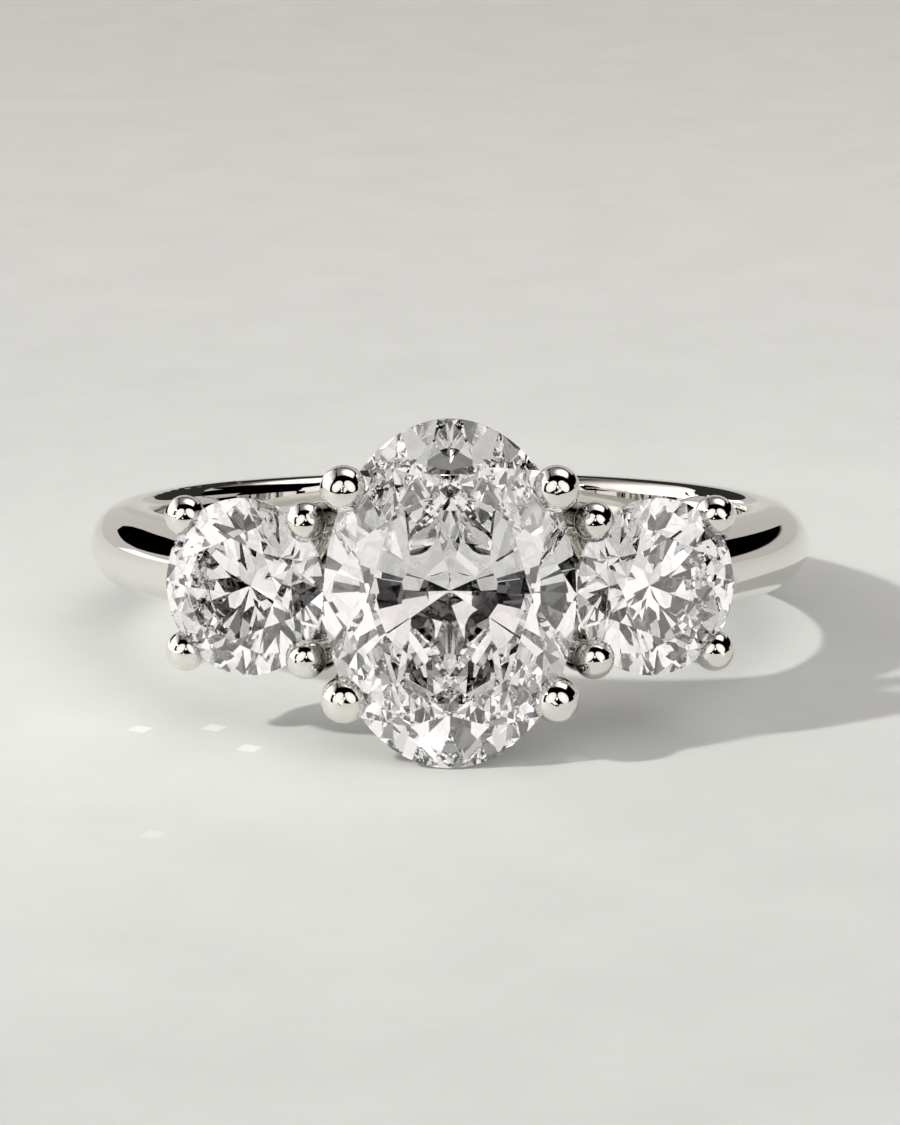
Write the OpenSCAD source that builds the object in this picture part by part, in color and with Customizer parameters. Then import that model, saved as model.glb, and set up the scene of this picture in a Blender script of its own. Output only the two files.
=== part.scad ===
// Three stone ring, lying on its side as it rests by itself.
// An oval stone stands between two round ones, and each is held by four
// ball-tipped wire prongs that curve in under it to a plain domed band.

/* [Band] */
// Inside diameter of the band, where the finger goes
finger_dia = 16.9; // [14:0.1:22]
// Thickness of the band, from its inner face to the top of its dome
band_t = 1.8; // [1.7:0.05:2.6]
// Width of the band along the finger, which is also the width of its dome
band_w = 2.3; // [1.8:0.05:2.6]
// Rounding of the band's two inner edges
band_edge_r = 0.4; // [0.2:0.05:0.5]

/* [Oval stone] */
// Width of the oval stone, round the finger
oval_w = 6.5; // [5.5:0.1:7.5]
// Length of the oval stone, along the finger
oval_l = 9.05; // [7.5:0.05:10.5]
// Depth by which its culet dips below the top of the band's dome
oval_sink = 0.66; // [0.2:0.02:0.8]

/* [Round stones] */
// Diameter of each round stone
round_dia = 4.65; // [3.6:0.05:5.2]
// Depth by which their culets dip below the top of the band's dome
round_sink = 0.07; // [0:0.01:0.4]
// Gap between the edges of the oval and a round stone, seen from the front
stone_gap = 0; // [0:0.05:0.6]

/* [Cut of the stones] */
// Angle of the crown's main facets across the width
crown_deg = 34.5; // [30:0.5:37]
// Thickness of the girdle, in percent of the stone's width
girdle_pct = 4; // [3.5:0.25:5]
// Length of the star facets, in percent of the way from table to girdle
star_pct = 50; // [40:1:60]
// Width of the oval's table, in percent of its width
oval_table_pct = 65; // [54:1:68]
// Depth of the oval's pavilion, in percent of its width
oval_depth_pct = 45; // [42:0.5:47]
// Lengths of the oval's lower facets, in percent of the way from girdle to
// culet: at its sides, between, and at its tips
oval_lower_pct = [63, 66, 46]; // [40:1:75]
// Width of the round stones' table, in percent of their width
round_table_pct = 58; // [54:1:64]
// Depth of the round stones' pavilion, in percent of their width
round_depth_pct = 43; // [41:0.5:45]
// Length of the round stones' lower facets, in percent as above
round_lower_pct = 77; // [70:1:80]

/* [Prongs of the oval stone] */
// Diameter of each ball tip
oval_ball_dia = 1.22; // [1:0.02:1.4]
// Diameter of each wire
oval_wire_dia = 0.95; // [0.8:0.05:1.1]
// Place of the prongs on the outline, as a turn from the stone's wide axis
oval_prong_deg = 36.2; // [30:0.2:42]
// Distance of the balls outside the outline
oval_ball_out = 0.13; // [0.05:0.01:0.35]
// Height of the balls' centres over the girdle
oval_ball_rise = 0.14; // [0:0.02:0.4]
// Depth below the girdle at which the wires start to curve in
oval_bend_depth = 0.8; // [0.6:0.05:1.1]
// Radius of the wires' curve
oval_bend_r = 1.5; // [1.1:0.05:1.7]

/* [Prongs of the round stones] */
// Diameter of each ball tip
round_ball_dia = 1.08; // [0.9:0.02:1.3]
// Diameter of each wire
round_wire_dia = 0.88; // [0.7:0.02:1]
// Distance of the balls outside the outline
round_ball_out = 0.2; // [0.05:0.05:0.35]
// Height of the balls' centres over the girdle
round_ball_rise = 0; // [0:0.02:0.4]
// Depth below the girdle at which the wires start to curve in
round_bend_depth = 0.75; // [0.5:0.05:1]
// Radius of the wires' curve
round_bend_r = 1; // [0.8:0.05:1.3]

/* [All prongs] */
// Turn that the wires' curve makes towards the stone's axis
bend_deg = 64; // [56:1:72]
// Distance from the stone's axis at which the wires end, inside the band
wire_end = 0.6; // [0.4:0.05:0.9]
// Clearance between each stone and the metal round it
seat_gap = 0.02; // [0.01:0.01:0.05]

/* [Hidden] */
$fn = 96;
wire_fn = 48;
metal_colour = [0.86, 0.85, 0.83];
stone_colour = [0.94, 0.95, 0.98];

// Main facets round a stone, and the steps that its girdle is drawn in
mains = 8;
main_step = 360 / mains;
half_step = main_step / 2;
girdle_count = 128;
girdle_step = 360 / girdle_count;
half_count = girdle_count / (2 * mains);
girdle_top = girdle_pct / 100;

// Where the pavilion's facets meet the girdle, in steps of it: first a ridge
// between two main facets, then a main facet, and so on round the stone
round_corners = [for (j = [-1 : 2 * mains - 2]) j * half_count];
oval_quarter = [0, 3, 9, 20];
oval_half = concat(oval_quarter, girdle_count / 4,
    [for (i = [3 : -1 : 1]) girdle_count / 2 - oval_quarter[i]]);
oval_corners = [for (turn = [0, girdle_count / 2], corner = oval_half) turn + corner];

// The radius at which each ridge ends in a unit stone, and in turn with it how
// far from the axis each main facet would cross the height of the girdle
round_main = 1.002;
round_reaches = [for (j = [1 : mains]) each [1 - round_lower_pct / 100, round_main]];
oval_ridges = [for (pct = oval_lower_pct) 1 - pct / 100];
side_main = 1.17;
tip_main = side_main * cos((oval_quarter[3] - oval_quarter[2]) * girdle_step)
    / cos((oval_quarter[2] - oval_quarter[1]) * girdle_step);
oval_reaches = [for (turn = [0, 1]) each [
    oval_ridges[0], side_main, oval_ridges[1], tip_main,
    oval_ridges[2], tip_main, oval_ridges[1], side_main]];

// The two cuts: radius of the table, depth of the pavilion, corners, reaches
oval_cut = [oval_table_pct / 100, 2 * oval_depth_pct / 100, oval_corners, oval_reaches];
round_cut = [round_table_pct / 100, 2 * round_depth_pct / 100, round_corners, round_reaches];
function table_z(cut) = girdle_top + (1 - cut[0]) * tan(crown_deg);
function culet_z(cut) = -girdle_top - cut[1];

// The band's radii
inner_r = finger_dia / 2;
outer_r = inner_r + band_t;
dome_r = band_w / 2;
edge_r = min(band_edge_r, band_t - dome_r);

// Distances from the band's axis to the girdles, and the round stones' turn
oval_reach = outer_r - oval_sink - culet_z(oval_cut) * oval_w / 2;
round_reach = outer_r - round_sink - culet_z(round_cut) * round_dia / 2;
round_turn = atan2(round_dia / 2, round_reach)
    + asin((oval_w / 2 + stone_gap) / norm([round_dia / 2, round_reach]));

// The ring rests on the oval's lower tip and on the band's dome at the back
tip_reach = oval_reach - girdle_top * oval_w / 2;
rest_span = tip_reach + outer_r - dome_r;
rest_tilt = atan2(oval_l / 2, rest_span) - asin(dome_r / norm([oval_l / 2, rest_span]));
axis_height = dome_r + (outer_r - dome_r) * sin(rest_tilt);

// The origin lies midway between the band's back and the table's lower edge
back_y = dome_r + (outer_r - dome_r) * cos(rest_tilt);
front_y = -(oval_reach + table_z(oval_cut) * oval_w / 2) * cos(rest_tilt)
    - oval_table_pct / 100 * oval_l / 2 * sin(rest_tilt);
axis_y = -(back_y + front_y) / 2;

function ring_point(radius, angle, height) =
    [radius * cos(angle), radius * sin(angle), height];

// Corner of the girdle's edge at a step and a height
function edge_point(i, height) = ring_point(1, i * girdle_step, height);

// Normal of the facet through an inner point and two corners of an edge
function facet_normal(inner, i, j, height) =
    cross(edge_point(i, height) - inner, edge_point(j, height) - inner);

// Point of the girdle's edge at a step, on the facet described above
function on_facet(inner, i, j, height, at) =
    let (n = facet_normal(inner, i, j, height), p = edge_point(at, height))
    [p.x, p.y, inner.z - (n.x * (p.x - inner.x) + n.y * (p.y - inner.y)) / n.z];

// Lower ends of the star facets
function star_ends(cut) =
    let (
        table_edge = cut[0] * cos(half_step),
        radius = table_edge + (1 - table_edge) * star_pct / 100,
        height = table_z(cut) - (radius * cos(half_step) - cut[0]) * tan(crown_deg))
    [for (k = [0 : mains - 1]) ring_point(radius, (k + 0.5) * main_step, height)];

// Upper ends of the ridges that run up from the culet
function ridge_ends(cut) =
    [for (k = [0 : mains - 1]) let (
        ridge = cut[2][2 * k] * girdle_step,
        turn = cut[2][2 * k + 1] * girdle_step - ridge,
        radius = cut[3][2 * k],
        rise = cut[1] * radius * cos(turn) / cut[3][2 * k + 1])
    ring_point(radius, ridge, culet_z(cut) + rise)];

// Upper end of a main facet, where its two lower facets part below the girdle
function main_end(cut, before, after, i, at, j, reach) =
    let (
        corner = edge_point(at, -girdle_top),
        along = cross(facet_normal(before, i, at, -girdle_top),
            facet_normal(after, at, j, -girdle_top)),
        closing = [corner.x, corner.y, -reach / cut[1]] * along)
    corner + along * (reach - 1) / closing;

function stone_points(cut) =
    let (
        stars = star_ends(cut),
        ridges = ridge_ends(cut),
        corners = concat(cut[2], cut[2][0] + girdle_count))
    concat(
        [for (k = [0 : mains - 1]) ring_point(cut[0], k * main_step, table_z(cut))],
        stars,
        [for (j = [0 : 2 * mains - 1], i = [0 : half_count - 1]) on_facet(
            stars[floor(j / 2)], half_count * j, half_count * (j + 1), girdle_top,
            half_count * j + i)],
        [for (j = [0 : 2 * mains - 1]) for (i = [corners[j] : corners[j + 1] - 1]) on_facet(
            ridges[ceil(j / 2) % mains], corners[j], corners[j + 1], -girdle_top, i)],
        ridges,
        [for (k = [0 : mains - 1]) main_end(
            cut, ridges[k], ridges[(k + 1) % mains],
            corners[2 * k], corners[2 * k + 1], corners[2 * k + 2], cut[3][2 * k + 1])],
        [[0, 0, culet_z(cut)]]
    );

// Places of the point groups in the list above
star_0 = mains;
top_0 = 2 * mains;
bottom_0 = top_0 + girdle_count;
ridge_0 = bottom_0 + girdle_count;
main_0 = ridge_0 + mains;
culet_0 = main_0 + mains;

// Place of a point of the girdle's lower edge, whose list starts at a corner
function bottom(cut, i) = bottom_0 + (i - cut[2][0]) % girdle_count;

function stone_faces(cut) = concat(
    // table, stars and crown mains
    [[for (k = [mains - 1 : -1 : 0]) k]],
    [for (k = [0 : mains - 1]) [k, (k + 1) % mains, star_0 + k]],
    [for (k = [0 : mains - 1]) [
        k, star_0 + k, top_0 + 2 * half_count * k, star_0 + (k + mains - 1) % mains]],
    // upper halves and girdle
    [for (j = [0 : 2 * mains - 1]) concat(
        [for (i = [half_count : -1 : 0]) top_0 + (half_count * j + i) % girdle_count],
        star_0 + floor(j / 2))],
    [for (i = [0 : girdle_count - 1]) let (n = (i + 1) % girdle_count)
        [top_0 + i, top_0 + n, bottom(cut, n), bottom(cut, i)]],
    // lower facets on both sides of each main facet, and the main facets
    [for (k = [0 : mains - 1]) concat(ridge_0 + k,
        [for (i = [cut[2][2 * k] : cut[2][2 * k + 1]]) bottom(cut, i)],
        main_0 + k)],
    [for (k = [0 : mains - 1]) let (n = (k + 1) % mains) concat(ridge_0 + n, main_0 + k,
        [for (i = [cut[2][2 * k + 1] : cut[2][2 * n] + (n == 0 ? girdle_count : 0)])
            bottom(cut, i)])],
    [for (k = [0 : mains - 1]) [culet_0, ridge_0 + k, main_0 + k, ridge_0 + (k + 1) % mains]]
);

// Stone with its girdle at the origin and its table upwards
module cut_stone(cut, width, length) {
    polyhedron(
        points = [for (p = stone_points(cut))
            [p.x * width / 2, p.y * length / 2, p.z * width / 2]],
        faces = stone_faces(cut),
        convexity = 4
    );
}

// Moves what is drawn about the band's axis to where the ring rests
module at_rest() {
    translate([0, axis_y, axis_height]) rotate([-rest_tilt, 0, 0]) children();
}

// Puts a head's own axes at its girdle: outwards from the band is up
module on_band(reach, turn) {
    rotate([0, 0, turn]) translate([0, -reach, 0]) rotate([90, 0, 0]) children();
}

module oval_place() {
    on_band(oval_reach, 0) children();
}

module round_place(side) {
    on_band(round_reach, side * round_turn) children();
}

module band() {
    rotate_extrude() {
        // domed outer half
        intersection() {
            translate([outer_r - dome_r, 0]) circle(r = dome_r);
            translate([outer_r - dome_r, -band_w]) square([band_w, 2 * band_w]);
        }
        // inner half with rounded edges
        translate([inner_r + edge_r, -dome_r]) square([band_t - dome_r - edge_r, band_w]);
        translate([inner_r, edge_r - dome_r]) square([edge_r, band_w - 2 * edge_r]);
        for (side = [-1, 1])
            translate([inner_r + edge_r, side * (dome_r - edge_r)]) circle(r = edge_r);
    }
}

// Prong at a ball centre given in the head's axes: a ball, a straight wire
// down past the girdle, a curve towards the head's axis and a straight leg
module prong(at, rise, ball_dia, wire_dia, bend_depth, bend_r) {
    out = norm(at);
    leg_start = out - bend_r * (1 - cos(bend_deg));
    leg = (leg_start - wire_end) / sin(bend_deg);
    rotate([0, 0, atan2(at.y, at.x)]) {
        translate([out, 0, rise]) sphere(d = ball_dia);
        translate([out, 0, -bend_depth])
            cylinder(d = wire_dia, h = bend_depth + rise, $fn = wire_fn);
        translate([out - bend_r, 0, -bend_depth]) rotate([90, 0, 0]) {
            rotate([0, 0, -bend_deg]) rotate_extrude(angle = bend_deg)
                translate([bend_r, 0]) circle(d = wire_dia, $fn = wire_fn);
            rotate([0, 0, -bend_deg]) translate([bend_r, 0, 0]) rotate([90, 0, 0])
                cylinder(d = wire_dia, h = leg, $fn = wire_fn);
        }
    }
}

// Four prongs in mirrored pairs about both of the head's axes
module four_prongs(at, rise, ball_dia, wire_dia, bend_depth, bend_r) {
    for (x = [-1, 1], y = [-1, 1])
        prong([x * at.x, y * at.y], rise, ball_dia, wire_dia, bend_depth, bend_r);
}

// Ball centre, set out from the outline of a stone along its normal
function ball_at(width, length, angle, out) =
    let (normal = [length * cos(angle), width * sin(angle)])
    [width * cos(angle) / 2, length * sin(angle) / 2] + out * normal / norm(normal);

module heads() {
    oval_place() four_prongs(
        ball_at(oval_w, oval_l, oval_prong_deg, oval_ball_out),
        oval_ball_rise, oval_ball_dia, oval_wire_dia, oval_bend_depth, oval_bend_r);
    for (side = [-1, 1]) round_place(side) four_prongs(
        ball_at(round_dia, round_dia, main_step, round_ball_out),
        round_ball_rise, round_ball_dia, round_wire_dia, round_bend_depth, round_bend_r);
}

// Room for the three stones, each a little larger than its stone
module seats() {
    oval_place() cut_stone(oval_cut, oval_w + 2 * seat_gap, oval_l + 2 * seat_gap);
    for (side = [-1, 1]) round_place(side)
        cut_stone(round_cut, round_dia + 2 * seat_gap, round_dia + 2 * seat_gap);
}

module band_with_prongs() {
    color(metal_colour) at_rest() difference() {
        union() {
            band();
            heads();
        }
        seats();
    }
}

module oval_stone() {
    color(stone_colour) at_rest() oval_place() cut_stone(oval_cut, oval_w, oval_l);
}

module round_stone_left() {
    color(stone_colour) at_rest() round_place(-1) cut_stone(round_cut, round_dia, round_dia);
}

module round_stone_right() {
    color(stone_colour) at_rest() round_place(1) cut_stone(round_cut, round_dia, round_dia);
}

band_with_prongs();
oval_stone();
round_stone_left();
round_stone_right();
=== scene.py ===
import math
import bpy
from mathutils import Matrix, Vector

# Three stone ring, polished white gold with an oval and two round diamonds.
# Everything is in metres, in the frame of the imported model.

mm = 0.001
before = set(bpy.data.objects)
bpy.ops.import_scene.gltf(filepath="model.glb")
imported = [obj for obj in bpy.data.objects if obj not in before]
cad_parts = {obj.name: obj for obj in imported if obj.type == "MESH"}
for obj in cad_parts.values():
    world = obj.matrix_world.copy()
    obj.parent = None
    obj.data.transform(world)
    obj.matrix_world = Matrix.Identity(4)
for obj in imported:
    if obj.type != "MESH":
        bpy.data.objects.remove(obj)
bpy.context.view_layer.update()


# One output socket that can be written in sums, so a mask reads as a formula
class Wire:
    def __init__(self, bench, socket):
        self.bench = bench
        self.socket = socket

    def __add__(self, other):
        return self.bench.maths("ADD", self, other)

    def __radd__(self, other):
        return self.bench.maths("ADD", other, self)

    def __sub__(self, other):
        return self.bench.maths("SUBTRACT", self, other)

    def __rsub__(self, other):
        return self.bench.maths("SUBTRACT", other, self)

    def __mul__(self, other):
        return self.bench.maths("MULTIPLY", self, other)

    def __rmul__(self, other):
        return self.bench.maths("MULTIPLY", other, self)

    def __truediv__(self, other):
        return self.bench.maths("DIVIDE", self, other)

    def __rtruediv__(self, other):
        return self.bench.maths("DIVIDE", other, self)

    def __pow__(self, other):
        return self.bench.maths("POWER", self, other)

    def __rpow__(self, other):
        return self.bench.maths("POWER", other, self)

    def __abs__(self):
        return self.bench.maths("ABSOLUTE", self)

    def atLeast(self, low):
        return self.bench.maths("MAXIMUM", self, low)

    # 0 below low and 1 above high, with a soft step between them
    def step(self, low, high):
        values = {"Value": self, "From Min": low, "From Max": high, "To Min": 0.0, "To Max": 1.0}
        settings = {"interpolation_type": "SMOOTHSTEP", "clamp": True}
        return self.bench.node("ShaderNodeMapRange", settings, values)

    # 1 past the limit, with an edge that is soft on both sides of it
    def past(self, limit, soft):
        return self.step(limit - soft, limit + soft)


# Where the nodes of one material or of the world are made
class Bench:
    def __init__(self, owner):
        owner.use_nodes = True
        self.tree = owner.node_tree
        self.tree.nodes.clear()

    def node(self, kind, settings=None, values=None, output=0):
        made = self.tree.nodes.new(kind)
        for name, value in (settings or {}).items():
            setattr(made, name, value)
        for name, value in (values or {}).items():
            if isinstance(value, Wire):
                self.tree.links.new(value.socket, made.inputs[name])
            else:
                made.inputs[name].default_value = value
        return Wire(self, made.outputs[output]) if made.outputs else made

    def maths(self, operation, *terms):
        return self.node("ShaderNodeMath", {"operation": operation}, dict(enumerate(terms)))

    # colour a where the mask is 0 and colour b where it is 1
    def mix(self, mask, a, b):
        values = {"Factor": mask, 6: a, 7: b}  # sockets 6 and 7 are the two colours
        return self.node("ShaderNodeMix", {"data_type": "RGBA"}, values, output=2)


def newMaterial(name):
    material = bpy.data.materials.new(name)
    return material, Bench(material)


# Polished white gold

whiteGold = {
    "colour": (0.835, 0.82, 0.785, 1.0),
    "paintedShadeColour": (0.06, 0.048, 0.030, 1.0),  # painted shade in the narrow gaps between metal and stones, where shade falls
    "paintedShadeReach": 1.0,             # width in mm of a gap that gets painted shade
    "paintedShadeRange": (0.30, 0.72),    # how open a place is where the painted shade is darkest, and where it is clear
    "roughness": 0.008,
    "haze": 0.012,               # how much rougher the worn patches are
    "hazeScale": 260.0,          # patches per metre
    "hazeDetail": 4.0,
    "hazeRange": (0.45, 0.75),   # the noise where a patch starts and where it is full
    "scratchScale": 5200.0,
    "scratchDetail": 3.0,
    "scratchDepth": 0.004,       # mm
    "scratchStrength": 0.02,
}


def makeWhiteGold(spec):
    material, bench = newMaterial("white_gold")
    place = bench.node("ShaderNodeTexCoord", output="Object")
    haze = bench.node("ShaderNodeTexNoise", values={
        "Vector": place, "Scale": spec["hazeScale"], "Detail": spec["hazeDetail"]})
    scratch = bench.node("ShaderNodeTexNoise", values={
        "Vector": place, "Scale": spec["scratchScale"], "Detail": spec["scratchDetail"]})
    bump = bench.node("ShaderNodeBump", values={
        "Strength": spec["scratchStrength"],
        "Distance": spec["scratchDepth"] * mm,
        "Height": scratch,
    })
    # painted shade: the metal's colour turns dark brown where ambient occlusion finds it closed
    # in, in the narrow gaps between metal and stones
    openness = bench.node("ShaderNodeAmbientOcclusion", values={
        "Distance": spec["paintedShadeReach"] * mm}, output="AO")
    colour = bench.mix(openness.step(*spec["paintedShadeRange"]), spec["paintedShadeColour"], spec["colour"])
    surface = bench.node("ShaderNodeBsdfPrincipled", values={
        "Base Color": colour,
        "Metallic": 1.0,
        "Roughness": haze.step(*spec["hazeRange"]) * spec["haze"] + spec["roughness"],
        "Normal": bump,
    })
    bench.node("ShaderNodeOutputMaterial", values={"Surface": surface})
    return material


# Diamond

diamond = {
    "colour": (0.985, 0.98, 1.0, 1.0),
    "ior": 2.417,
    "roughness": 0.0,
}


def makeDiamond(spec):
    material, bench = newMaterial("diamond")
    surface = bench.node("ShaderNodeBsdfPrincipled", values={
        "Base Color": spec["colour"],
        "Roughness": spec["roughness"],
        "IOR": spec["ior"],
        "Transmission Weight": 1.0,
    })
    bench.node("ShaderNodeOutputMaterial", values={"Surface": surface})
    return material


def dress(name, material):
    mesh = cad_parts[name].data
    mesh.materials.clear()
    mesh.materials.append(material)


print("dressing the ring")
dress("band_with_prongs", makeWhiteGold(whiteGold))
stoneFinish = makeDiamond(diamond)
for name in ("oval_stone", "round_stone_left", "round_stone_right"):
    dress(name, stoneFinish)


# Pale plaster floor. It is made in two planes, because polished metal and the
# stones see a dark room beyond its front edge.

plaster = {
    # the far tone is painted shade: the floor is darker towards the back, where the light falls
    # off
    "near": (0.455, 0.465, 0.459, 1.0),
    "far": (0.365, 0.362, 0.350, 1.0),
    "fade": (0.01, 0.16),        # where the near tone ends and the far tone, painted shade, is full
    "halfSize": 3.0,
    "frontEdge": -0.042,
    "roughness": 0.6,
    "shine": 0.2,
    "clouds": 0.17,              # faint mottling and its patches per metre
    "cloudScale": 240.0,
    "cloudDetail": 5.0,
    "cloudRoughness": 0.6,
    "flecks": 0.24,              # flecks of light that the stones throw in front of them
    "fleckScale": 600.0,         # cells per metre, each with one fleck or none
    "fleckTurn": (0.0, 0.0, 0.5),
    "fleckSize": 0.16,           # half width of the largest, as a part of a cell
    "fleckEdge": 0.02,
    "fleckShare": (0.4, 0.9),    # the draw where a cell starts to have one, and is full
    "fleckMiddle": (-0.0035, -0.0095, 0.0),
    "fleckReach": (0.004, 0.0118),
}


def makePlane(name, front, back, half, material):
    mesh = bpy.data.meshes.new(name)
    corners = [(-half, front, 0), (half, front, 0), (half, back, 0), (-half, back, 0)]
    mesh.from_pydata(corners, [], [(0, 1, 2, 3)])
    mesh.materials.append(material)
    plane = bpy.data.objects.new(name, mesh)
    bpy.context.scene.collection.objects.link(plane)
    return plane


def makeFloor(spec):
    material, bench = newMaterial("floor")
    place = bench.node("ShaderNodeTexCoord", output="Object")
    y = bench.node("ShaderNodeSeparateXYZ", values={"Vector": place}, output="Y")
    # painted shade: the floor's colour darkens towards the back
    colour = bench.mix(y.step(*spec["fade"]), spec["near"], spec["far"])
    clouds = bench.node("ShaderNodeTexNoise", values={
        "Vector": place,
        "Scale": spec["cloudScale"],
        "Detail": spec["cloudDetail"],
        "Roughness": spec["cloudRoughness"],
    })

    # square flecks, one at the middle of some of the cells
    turned = bench.node("ShaderNodeMapping", values={
        "Vector": place, "Rotation": spec["fleckTurn"]})
    cell = {"Vector": turned, "Scale": spec["fleckScale"], "Randomness": 1.0}
    kind = {"distance": "CHEBYCHEV"}
    distance = bench.node("ShaderNodeTexVoronoi", kind, cell)
    draw = bench.node("ShaderNodeSeparateColor", values={
        "Color": bench.node("ShaderNodeTexVoronoi", kind, cell, output="Color")})
    away = bench.node("ShaderNodeVectorMath", {"operation": "DISTANCE"}, {
        0: place, 1: spec["fleckMiddle"]}, output="Value")
    flecks = 1 - (distance - draw * spec["fleckSize"]).past(0, spec["fleckEdge"])
    flecks = flecks * draw.step(*spec["fleckShare"]) * (1 - away.step(*spec["fleckReach"]))

    # the noise lies round a half, so the mottling goes as far down as up
    tone = (clouds - 0.5) * spec["clouds"] + flecks * spec["flecks"] + 1
    colour = bench.node("ShaderNodeVectorMath", {"operation": "SCALE"}, {0: colour, "Scale": tone})
    surface = bench.node("ShaderNodeBsdfPrincipled", values={
        "Base Color": colour,
        "Roughness": spec["roughness"],
        "Specular IOR Level": spec["shine"],
    })
    bench.node("ShaderNodeOutputMaterial", values={"Surface": surface})

    half, edge = spec["halfSize"], spec["frontEdge"]
    makePlane("floor", edge, half, half, material)
    front = makePlane("floor_front", -half, edge, half, material)
    front.visible_glossy = False
    front.visible_transmission = False


# The studio all round, drawn by direction. x, y and z are the parts of the unit
# vector that points at a place: x to the right, y to the back, z up.

studio = {
    "colour": (1.0, 0.955, 0.925, 1.0),
    "dark": 0.0005,              # the light from everywhere else
    "backdrop": (0.62, 0.60, 0.56, 1.0),  # what the camera itself sees above the floor
    "soft": 0.02,                # half width of an edge, unless another is given
    "least": 0.001,              # keeps a division away from zero
    # wall round the back and sides: strength, its height at the sides and at
    # the back, slope of the edges between the two, its left and right ends
    "wall": 0.55,
    "wallTop": (0.17, 0.60),
    "wallSlope": (0.25, 1.10),
    "wallEnds": (-0.32, 0.10),
    # white strip along the foot of the wall on the left: strength, top
    "strip": 1.6,
    "stripTop": 0.14,
    # tall panel on the left: strength, front and back end, slope of its top,
    # edges at its back end, foot and top
    "panel": 1.5,
    "panelEnds": (-0.40, 1.9),
    "panelTop": (0.13, -0.555),
    "panelSoft": (0.1, 0.03, 0.01),
    # where it starts to fade, where it has faded and by how much
    "panelFadeUp": (0.55, 1.75, 0.8),
    "panelFadeFront": (0.1, -0.4, 0.25),
    # soft box overhead: strength, then its edges, each from dark to lit, at its
    # foot, on the left and right, and at the front and back
    "overhead": 2.4,
    "overheadFoot": (0.0, 0.05),
    "overheadSides": [(-0.43, -0.41), (0.96, 0.76)],
    "overheadEnds": [(-0.15, -0.03), (1.60, 1.00)],
    # place and size of its hot spot, and its strength outside that
    "hotSpot": (0.47, 0.27),
    "hotSpotSize": (0.1, 0.75),
    "overheadLow": 0.10,
    # two oval diffusers above the camera: strength, fall towards the rim, half
    # length and half width, edge, middle and direction of the long axis of each
    "diffuser": 1.35,
    "diffuserFall": 0.25,
    "diffuserSize": (32, 21),
    "diffuserSoft": 0.03,
    "diffusers": [((-31.5, 24.2), (-7, 47)), ((39, 24.2), (14.5, 47))],
    # small lamps: strength, edge, then azimuth from the camera, elevation, half
    # height and half width of each
    "lampStrength": 1.2,
    "lampSoft": 0.2,
    "lamps": [(3.5, 24, 7, 5), (-10, -1, 4, 4), (-62, 38, 4, 4)],
}


# Direction at an azimuth from the camera's side and an elevation, in degrees
def aim(azimuth, elevation):
    a, e = math.radians(azimuth), math.radians(elevation)
    return Vector((math.sin(a) * math.cos(e), -math.cos(a) * math.cos(e), math.sin(e)))


def dot(bench, place, direction):
    values = {0: place, 1: direction}
    return bench.node("ShaderNodeVectorMath", {"operation": "DOT_PRODUCT"}, values, output="Value")


# Distance from an oval's middle, 1 on its outline, in the directions round it
def ovalDistance(bench, place, middle, longAxis, halfLength, halfWidth):
    longAxis = (longAxis - longAxis.dot(middle) * middle).normalized()
    shortAxis = middle.cross(longAxis)
    p = dot(bench, place, longAxis / math.tan(math.radians(halfLength)))
    q = dot(bench, place, shortAxis / math.tan(math.radians(halfWidth)))
    ahead = dot(bench, place, middle).atLeast(studio["least"])
    return (p * p + q * q) ** 0.5 / ahead


# The light with something in front of it where the mask is 1
def cover(light, mask, strength):
    return light * (1 - mask) + mask * strength


# 1 on the lit side of an edge that is given from dark to lit
def litSide(value, dark, lit):
    return value.step(dark, lit) if dark < lit else 1 - value.step(lit, dark)


def wallLight(spec, x, y, z):
    soft = spec["soft"]
    flat = (x * x + y * y) ** 0.5
    rise, back = z / flat, y / flat
    wide, tall = spec["wallSlope"]
    turn = 1 - (abs(x) - y * wide - z * tall).past(0, soft)
    low, high = spec["wallTop"]
    wall = 1 - (rise - turn * (high - low) - low).past(0, soft)
    leftEnd, rightEnd = spec["wallEnds"]
    onLeft = 1 - x.step(-soft, 0.0)
    end = onLeft * (leftEnd - rightEnd) + rightEnd
    light = wall * (back - end).past(0, soft) * spec["wall"]

    # white strip and tall panel on the left, in front of the wall
    left = (x * -1).atLeast(spec["least"])
    along, up = y / left, z / left
    front, rear = spec["panelEnds"]
    start = along.past(front, soft) * onLeft
    strip = start * (1 - turn) * (1 - rise.past(spec["stripTop"], soft))
    light = cover(light, strip, spec["strip"])
    slope, offset = spec["panelTop"]
    rearSoft, footSoft, topSoft = spec["panelSoft"]
    panel = start * (1 - along.past(rear, rearSoft)) * up.past(0, footSoft)
    panel = panel * (1 - (x - y * slope - z * offset).past(0, topSoft))
    low, high, upLoss = spec["panelFadeUp"]
    near, far, frontLoss = spec["panelFadeFront"]
    fade = 1 - up.step(low, high) * upLoss - (1 - along.step(far, near)) * frontLoss
    return cover(light, panel, fade * spec["panel"])


def overheadLight(spec, x, y, z):
    above = z.atLeast(spec["least"])
    across, over = x / above, y / above
    box = litSide(z, *spec["overheadFoot"])
    for edge in spec["overheadSides"]:
        box = box * litSide(across, *edge)
    for edge in spec["overheadEnds"]:
        box = box * litSide(over, *edge)
    middle, weak = spec["hotSpot"], spec["overheadLow"]
    away = ((across - middle[0]) ** 2.0 + (over - middle[1]) ** 2.0) ** 0.5
    glow = (1 - away.step(*spec["hotSpotSize"])) * (1 - weak) + weak
    return box * glow * spec["overhead"]


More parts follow.
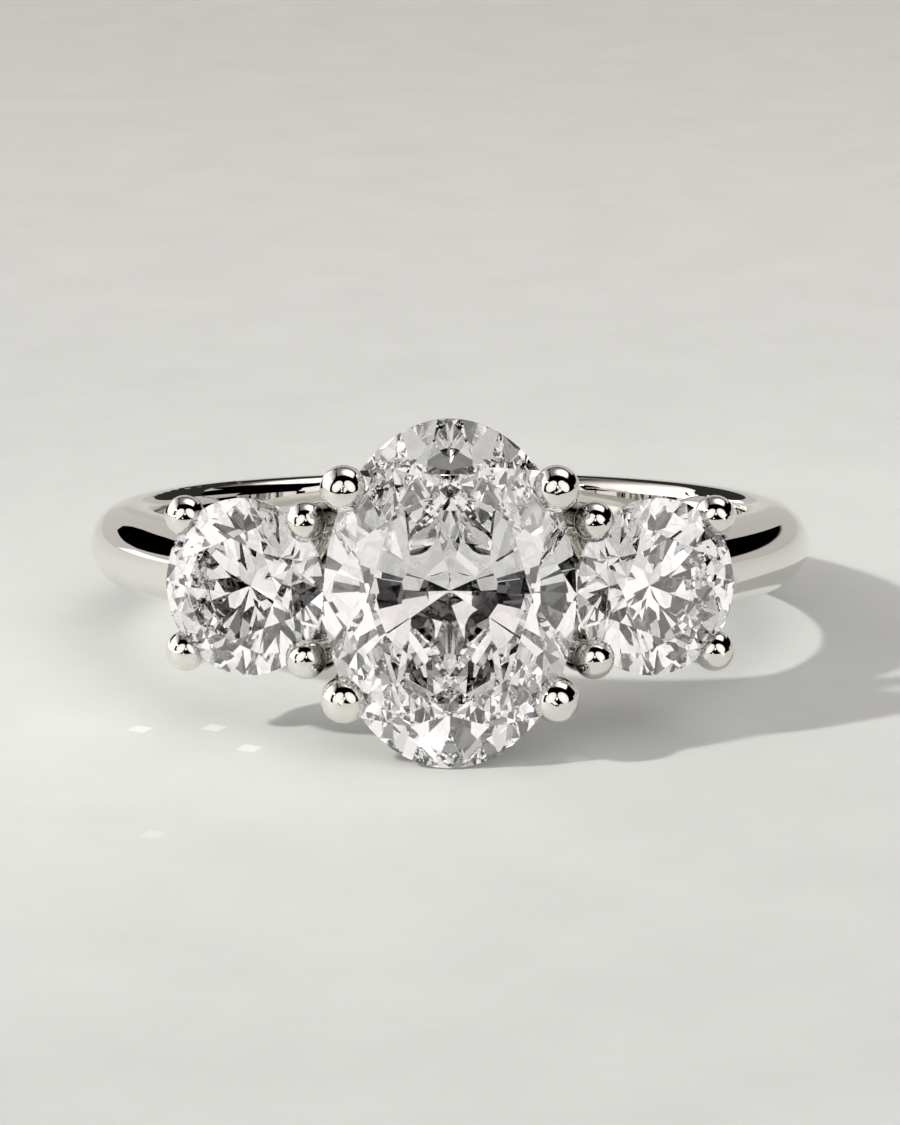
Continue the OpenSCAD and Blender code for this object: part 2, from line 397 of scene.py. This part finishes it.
def makeStudio(spec):
    world = bpy.data.worlds.new("studio")
    bpy.context.scene.world = world
    bench = Bench(world)
    place = bench.node("ShaderNodeTexCoord", output="Generated")
    x, y, z = (
        bench.node("ShaderNodeSeparateXYZ", values={"Vector": place}, output=axis)
        for axis in "XYZ"
    )
    light = wallLight(spec, x, y, z) + overheadLight(spec, x, y, z)
    for middle, end in spec["diffusers"]:
        away = ovalDistance(bench, place, aim(*middle), aim(*end), *spec["diffuserSize"])
        strength = (1 - away * spec["diffuserFall"]) * spec["diffuser"]
        light = cover(light, 1 - away.past(1, spec["diffuserSoft"]), strength)
    upright = Vector((0, 0, 1))
    for azimuth, elevation, height, width in spec["lamps"]:
        away = ovalDistance(bench, place, aim(azimuth, elevation), upright, height, width)
        light = light + (1 - away.past(1, spec["lampSoft"])) * spec["lampStrength"]
    light = light + spec["dark"]
    seen = bench.node("ShaderNodeLightPath", output="Is Camera Ray")
    lit = bench.node("ShaderNodeBackground", values={"Color": spec["colour"], "Strength": light})
    plain = bench.node("ShaderNodeBackground", values={"Color": spec["backdrop"]})
    shade = bench.node("ShaderNodeMixShader", values={0: seen, 1: lit, 2: plain})
    bench.node("ShaderNodeOutputWorld", values={"Surface": shade})


# Cards beside the ring that show in reflections only, for its polished metal.
# Middles and the places that they face are in mm, and outlines in mm across and
# up from the middle, as that place sees them.

cards = {
    "left_grey": {
        "middle": (-12.8, 1.2, 6.1), "faces": (-8.4, -3.3, 4.0), "glow": 0.6,
        "outline": [
            (-7.0, 0.6), (-7.0, -1.5), (-2.0, -1.8), (0.0, -2.9), (4.6, -2.9), (4.6, 0.5),
            (2.2, 2.4), (-0.6, 3.6), (-2.5, 3.0), (-2.5, 0.5)],
    },
    "back": {
        "middle": (0, 17, 6.8), "faces": (0, 9, 3.4), "glow": 0.03,
        "outline": [(-8.0, -2.2), (8.0, -2.2), (7.0, 1.2), (4.0, 2.6), (-4.0, 2.6), (-7.0, 1.2)],
    },
    "left_black": {
        "middle": (-12.41, 0.77, 5.94), "faces": (-8.43, -3.3, 4.05), "glow": 0.0,
        "outline": [
            (-5.0, -0.3), (-3.6, -0.8), (-1.8, -1.3), (0.0, -1.5), (1.5, -1.45), (2.0, -1.0),
            (1.9, -0.4), (1.4, 0.3), (0.6, 1.0), (-0.3, 1.8), (-1.2, 2.4), (-2.4, 2.2),
            (-4.0, 1.4), (-5.2, 0.3)],
    },
}


def makeCard(name, spec):
    middle, faces = Vector(spec["middle"]) * mm, Vector(spec["faces"]) * mm
    towards = (faces - middle).normalized()
    across = Vector((0, 0, 1)).cross(towards).normalized()
    up = towards.cross(across)
    corners = [middle + (across * u + up * v) * mm for u, v in spec["outline"]]
    mesh = bpy.data.meshes.new(name)
    mesh.from_pydata(corners, [], [tuple(range(len(corners)))])
    material, bench = newMaterial(name)
    surface = bench.node("ShaderNodeEmission", values={
        "Color": studio["colour"], "Strength": spec["glow"]})
    bench.node("ShaderNodeOutputMaterial", values={"Surface": surface})
    mesh.materials.append(material)
    card = bpy.data.objects.new(name, mesh)
    card.visible_camera = False
    card.visible_diffuse = False
    card.visible_transmission = False
    card.visible_shadow = False
    bpy.context.scene.collection.objects.link(card)


# A key light from the left front, a soft fill from the front, a pool of light
# left of the ring, and the light that the ring throws into its own shadow. The
# last three are for the floor alone and are kept out of reflections. Angles
# are in degrees, places in mm and distances in metres.

lights = {
    "key": {
        "kind": "SUN", "energy": 2.4, "colour": (1.0, 0.985, 0.95), "angles": {"angle": 3.5},
        "settings": {}, "from": (-0.727, -0.359, 0.583), "aim": (0, 0, 0), "distance": 0.1,
        "reflected": True,
    },
    "fill": {
        "kind": "SUN", "energy": 1.85, "colour": (1.0, 0.985, 0.95), "angles": {"angle": 60},
        "settings": {"use_shadow": False},
        "from": (0.30, -0.58, 0.757), "aim": (0, 0, 0), "distance": 0.1,
        "reflected": False,
    },
    "pool": {
        "kind": "SPOT", "energy": 7.5, "colour": (1.0, 1.0, 0.96), "angles": {"spot_size": 4.9},
        "settings": {"spot_blend": 1.0, "shadow_soft_size": 0.02},
        "from": (-0.727, -0.359, 0.583), "aim": (-11, -4, 0), "distance": 0.4,
        "reflected": False,
    },
    "bounce": {
        "kind": "SPOT", "energy": 2.4, "colour": (1.0, 0.97, 0.90), "angles": {"spot_size": 3.5},
        "settings": {"spot_blend": 1.0, "use_shadow": False},
        "from": (0.0, -0.6, 0.8), "aim": (-2.5, -2.8, 0), "distance": 0.4,
        "reflected": False,
    },
}


def makeLight(name, spec):
    lamp = bpy.data.lights.new(name, spec["kind"])
    lamp.energy = spec["energy"]
    lamp.color = spec["colour"]
    for setting, value in spec["settings"].items():
        setattr(lamp, setting, value)
    for setting, degrees in spec["angles"].items():
        setattr(lamp, setting, math.radians(degrees))
    light = bpy.data.objects.new(name, lamp)
    towards = Vector(spec["from"]).normalized()
    light.location = Vector(spec["aim"]) * mm + towards * spec["distance"]
    light.rotation_mode = "QUATERNION"
    light.rotation_quaternion = towards.to_track_quat("Z", "Y")
    light.visible_glossy = spec["reflected"]
    light.visible_transmission = spec["reflected"]
    bpy.context.scene.collection.objects.link(light)


camera = {
    "aim": (0.0, 1.691, 1.955),  # mm
    "distance": 124.7,           # mm
    "elevation": 15.31,
    "lens": 139.4,
    "sensor": 36.0,
    "clip": (0.01, 20.0),
}


def makeCamera(spec):
    data = bpy.data.cameras.new("camera")
    data.lens = spec["lens"]
    data.sensor_width = spec["sensor"]
    data.clip_start, data.clip_end = spec["clip"]
    eye = bpy.data.objects.new("camera", data)
    back = aim(0, spec["elevation"])
    eye.location = (Vector(spec["aim"]) + back * spec["distance"]) * mm
    eye.rotation_mode = "QUATERNION"
    eye.rotation_quaternion = back.to_track_quat("Z", "Y")
    bpy.context.scene.collection.objects.link(eye)
    bpy.context.scene.camera = eye


# How light is followed: through many facets of the stones, and without the
# bright patches that they throw, which would be too noisy

paths = {
    "max_bounces": 32,
    "glossy_bounces": 32,
    "transmission_bounces": 32,
    "caustics_reflective": False,
    "caustics_refractive": False,
    "blur_glossy": 0.0,
}

print("laying the floor")
makeFloor(plaster)

print("setting up the studio")
makeStudio(studio)
for name, spec in cards.items():
    makeCard(name, spec)
for name, spec in lights.items():
    makeLight(name, spec)

print("placing the camera")
makeCamera(camera)
bpy.context.scene.view_settings.view_transform = "Standard"
for setting, value in paths.items():
    setattr(bpy.context.scene.cycles, setting, value)
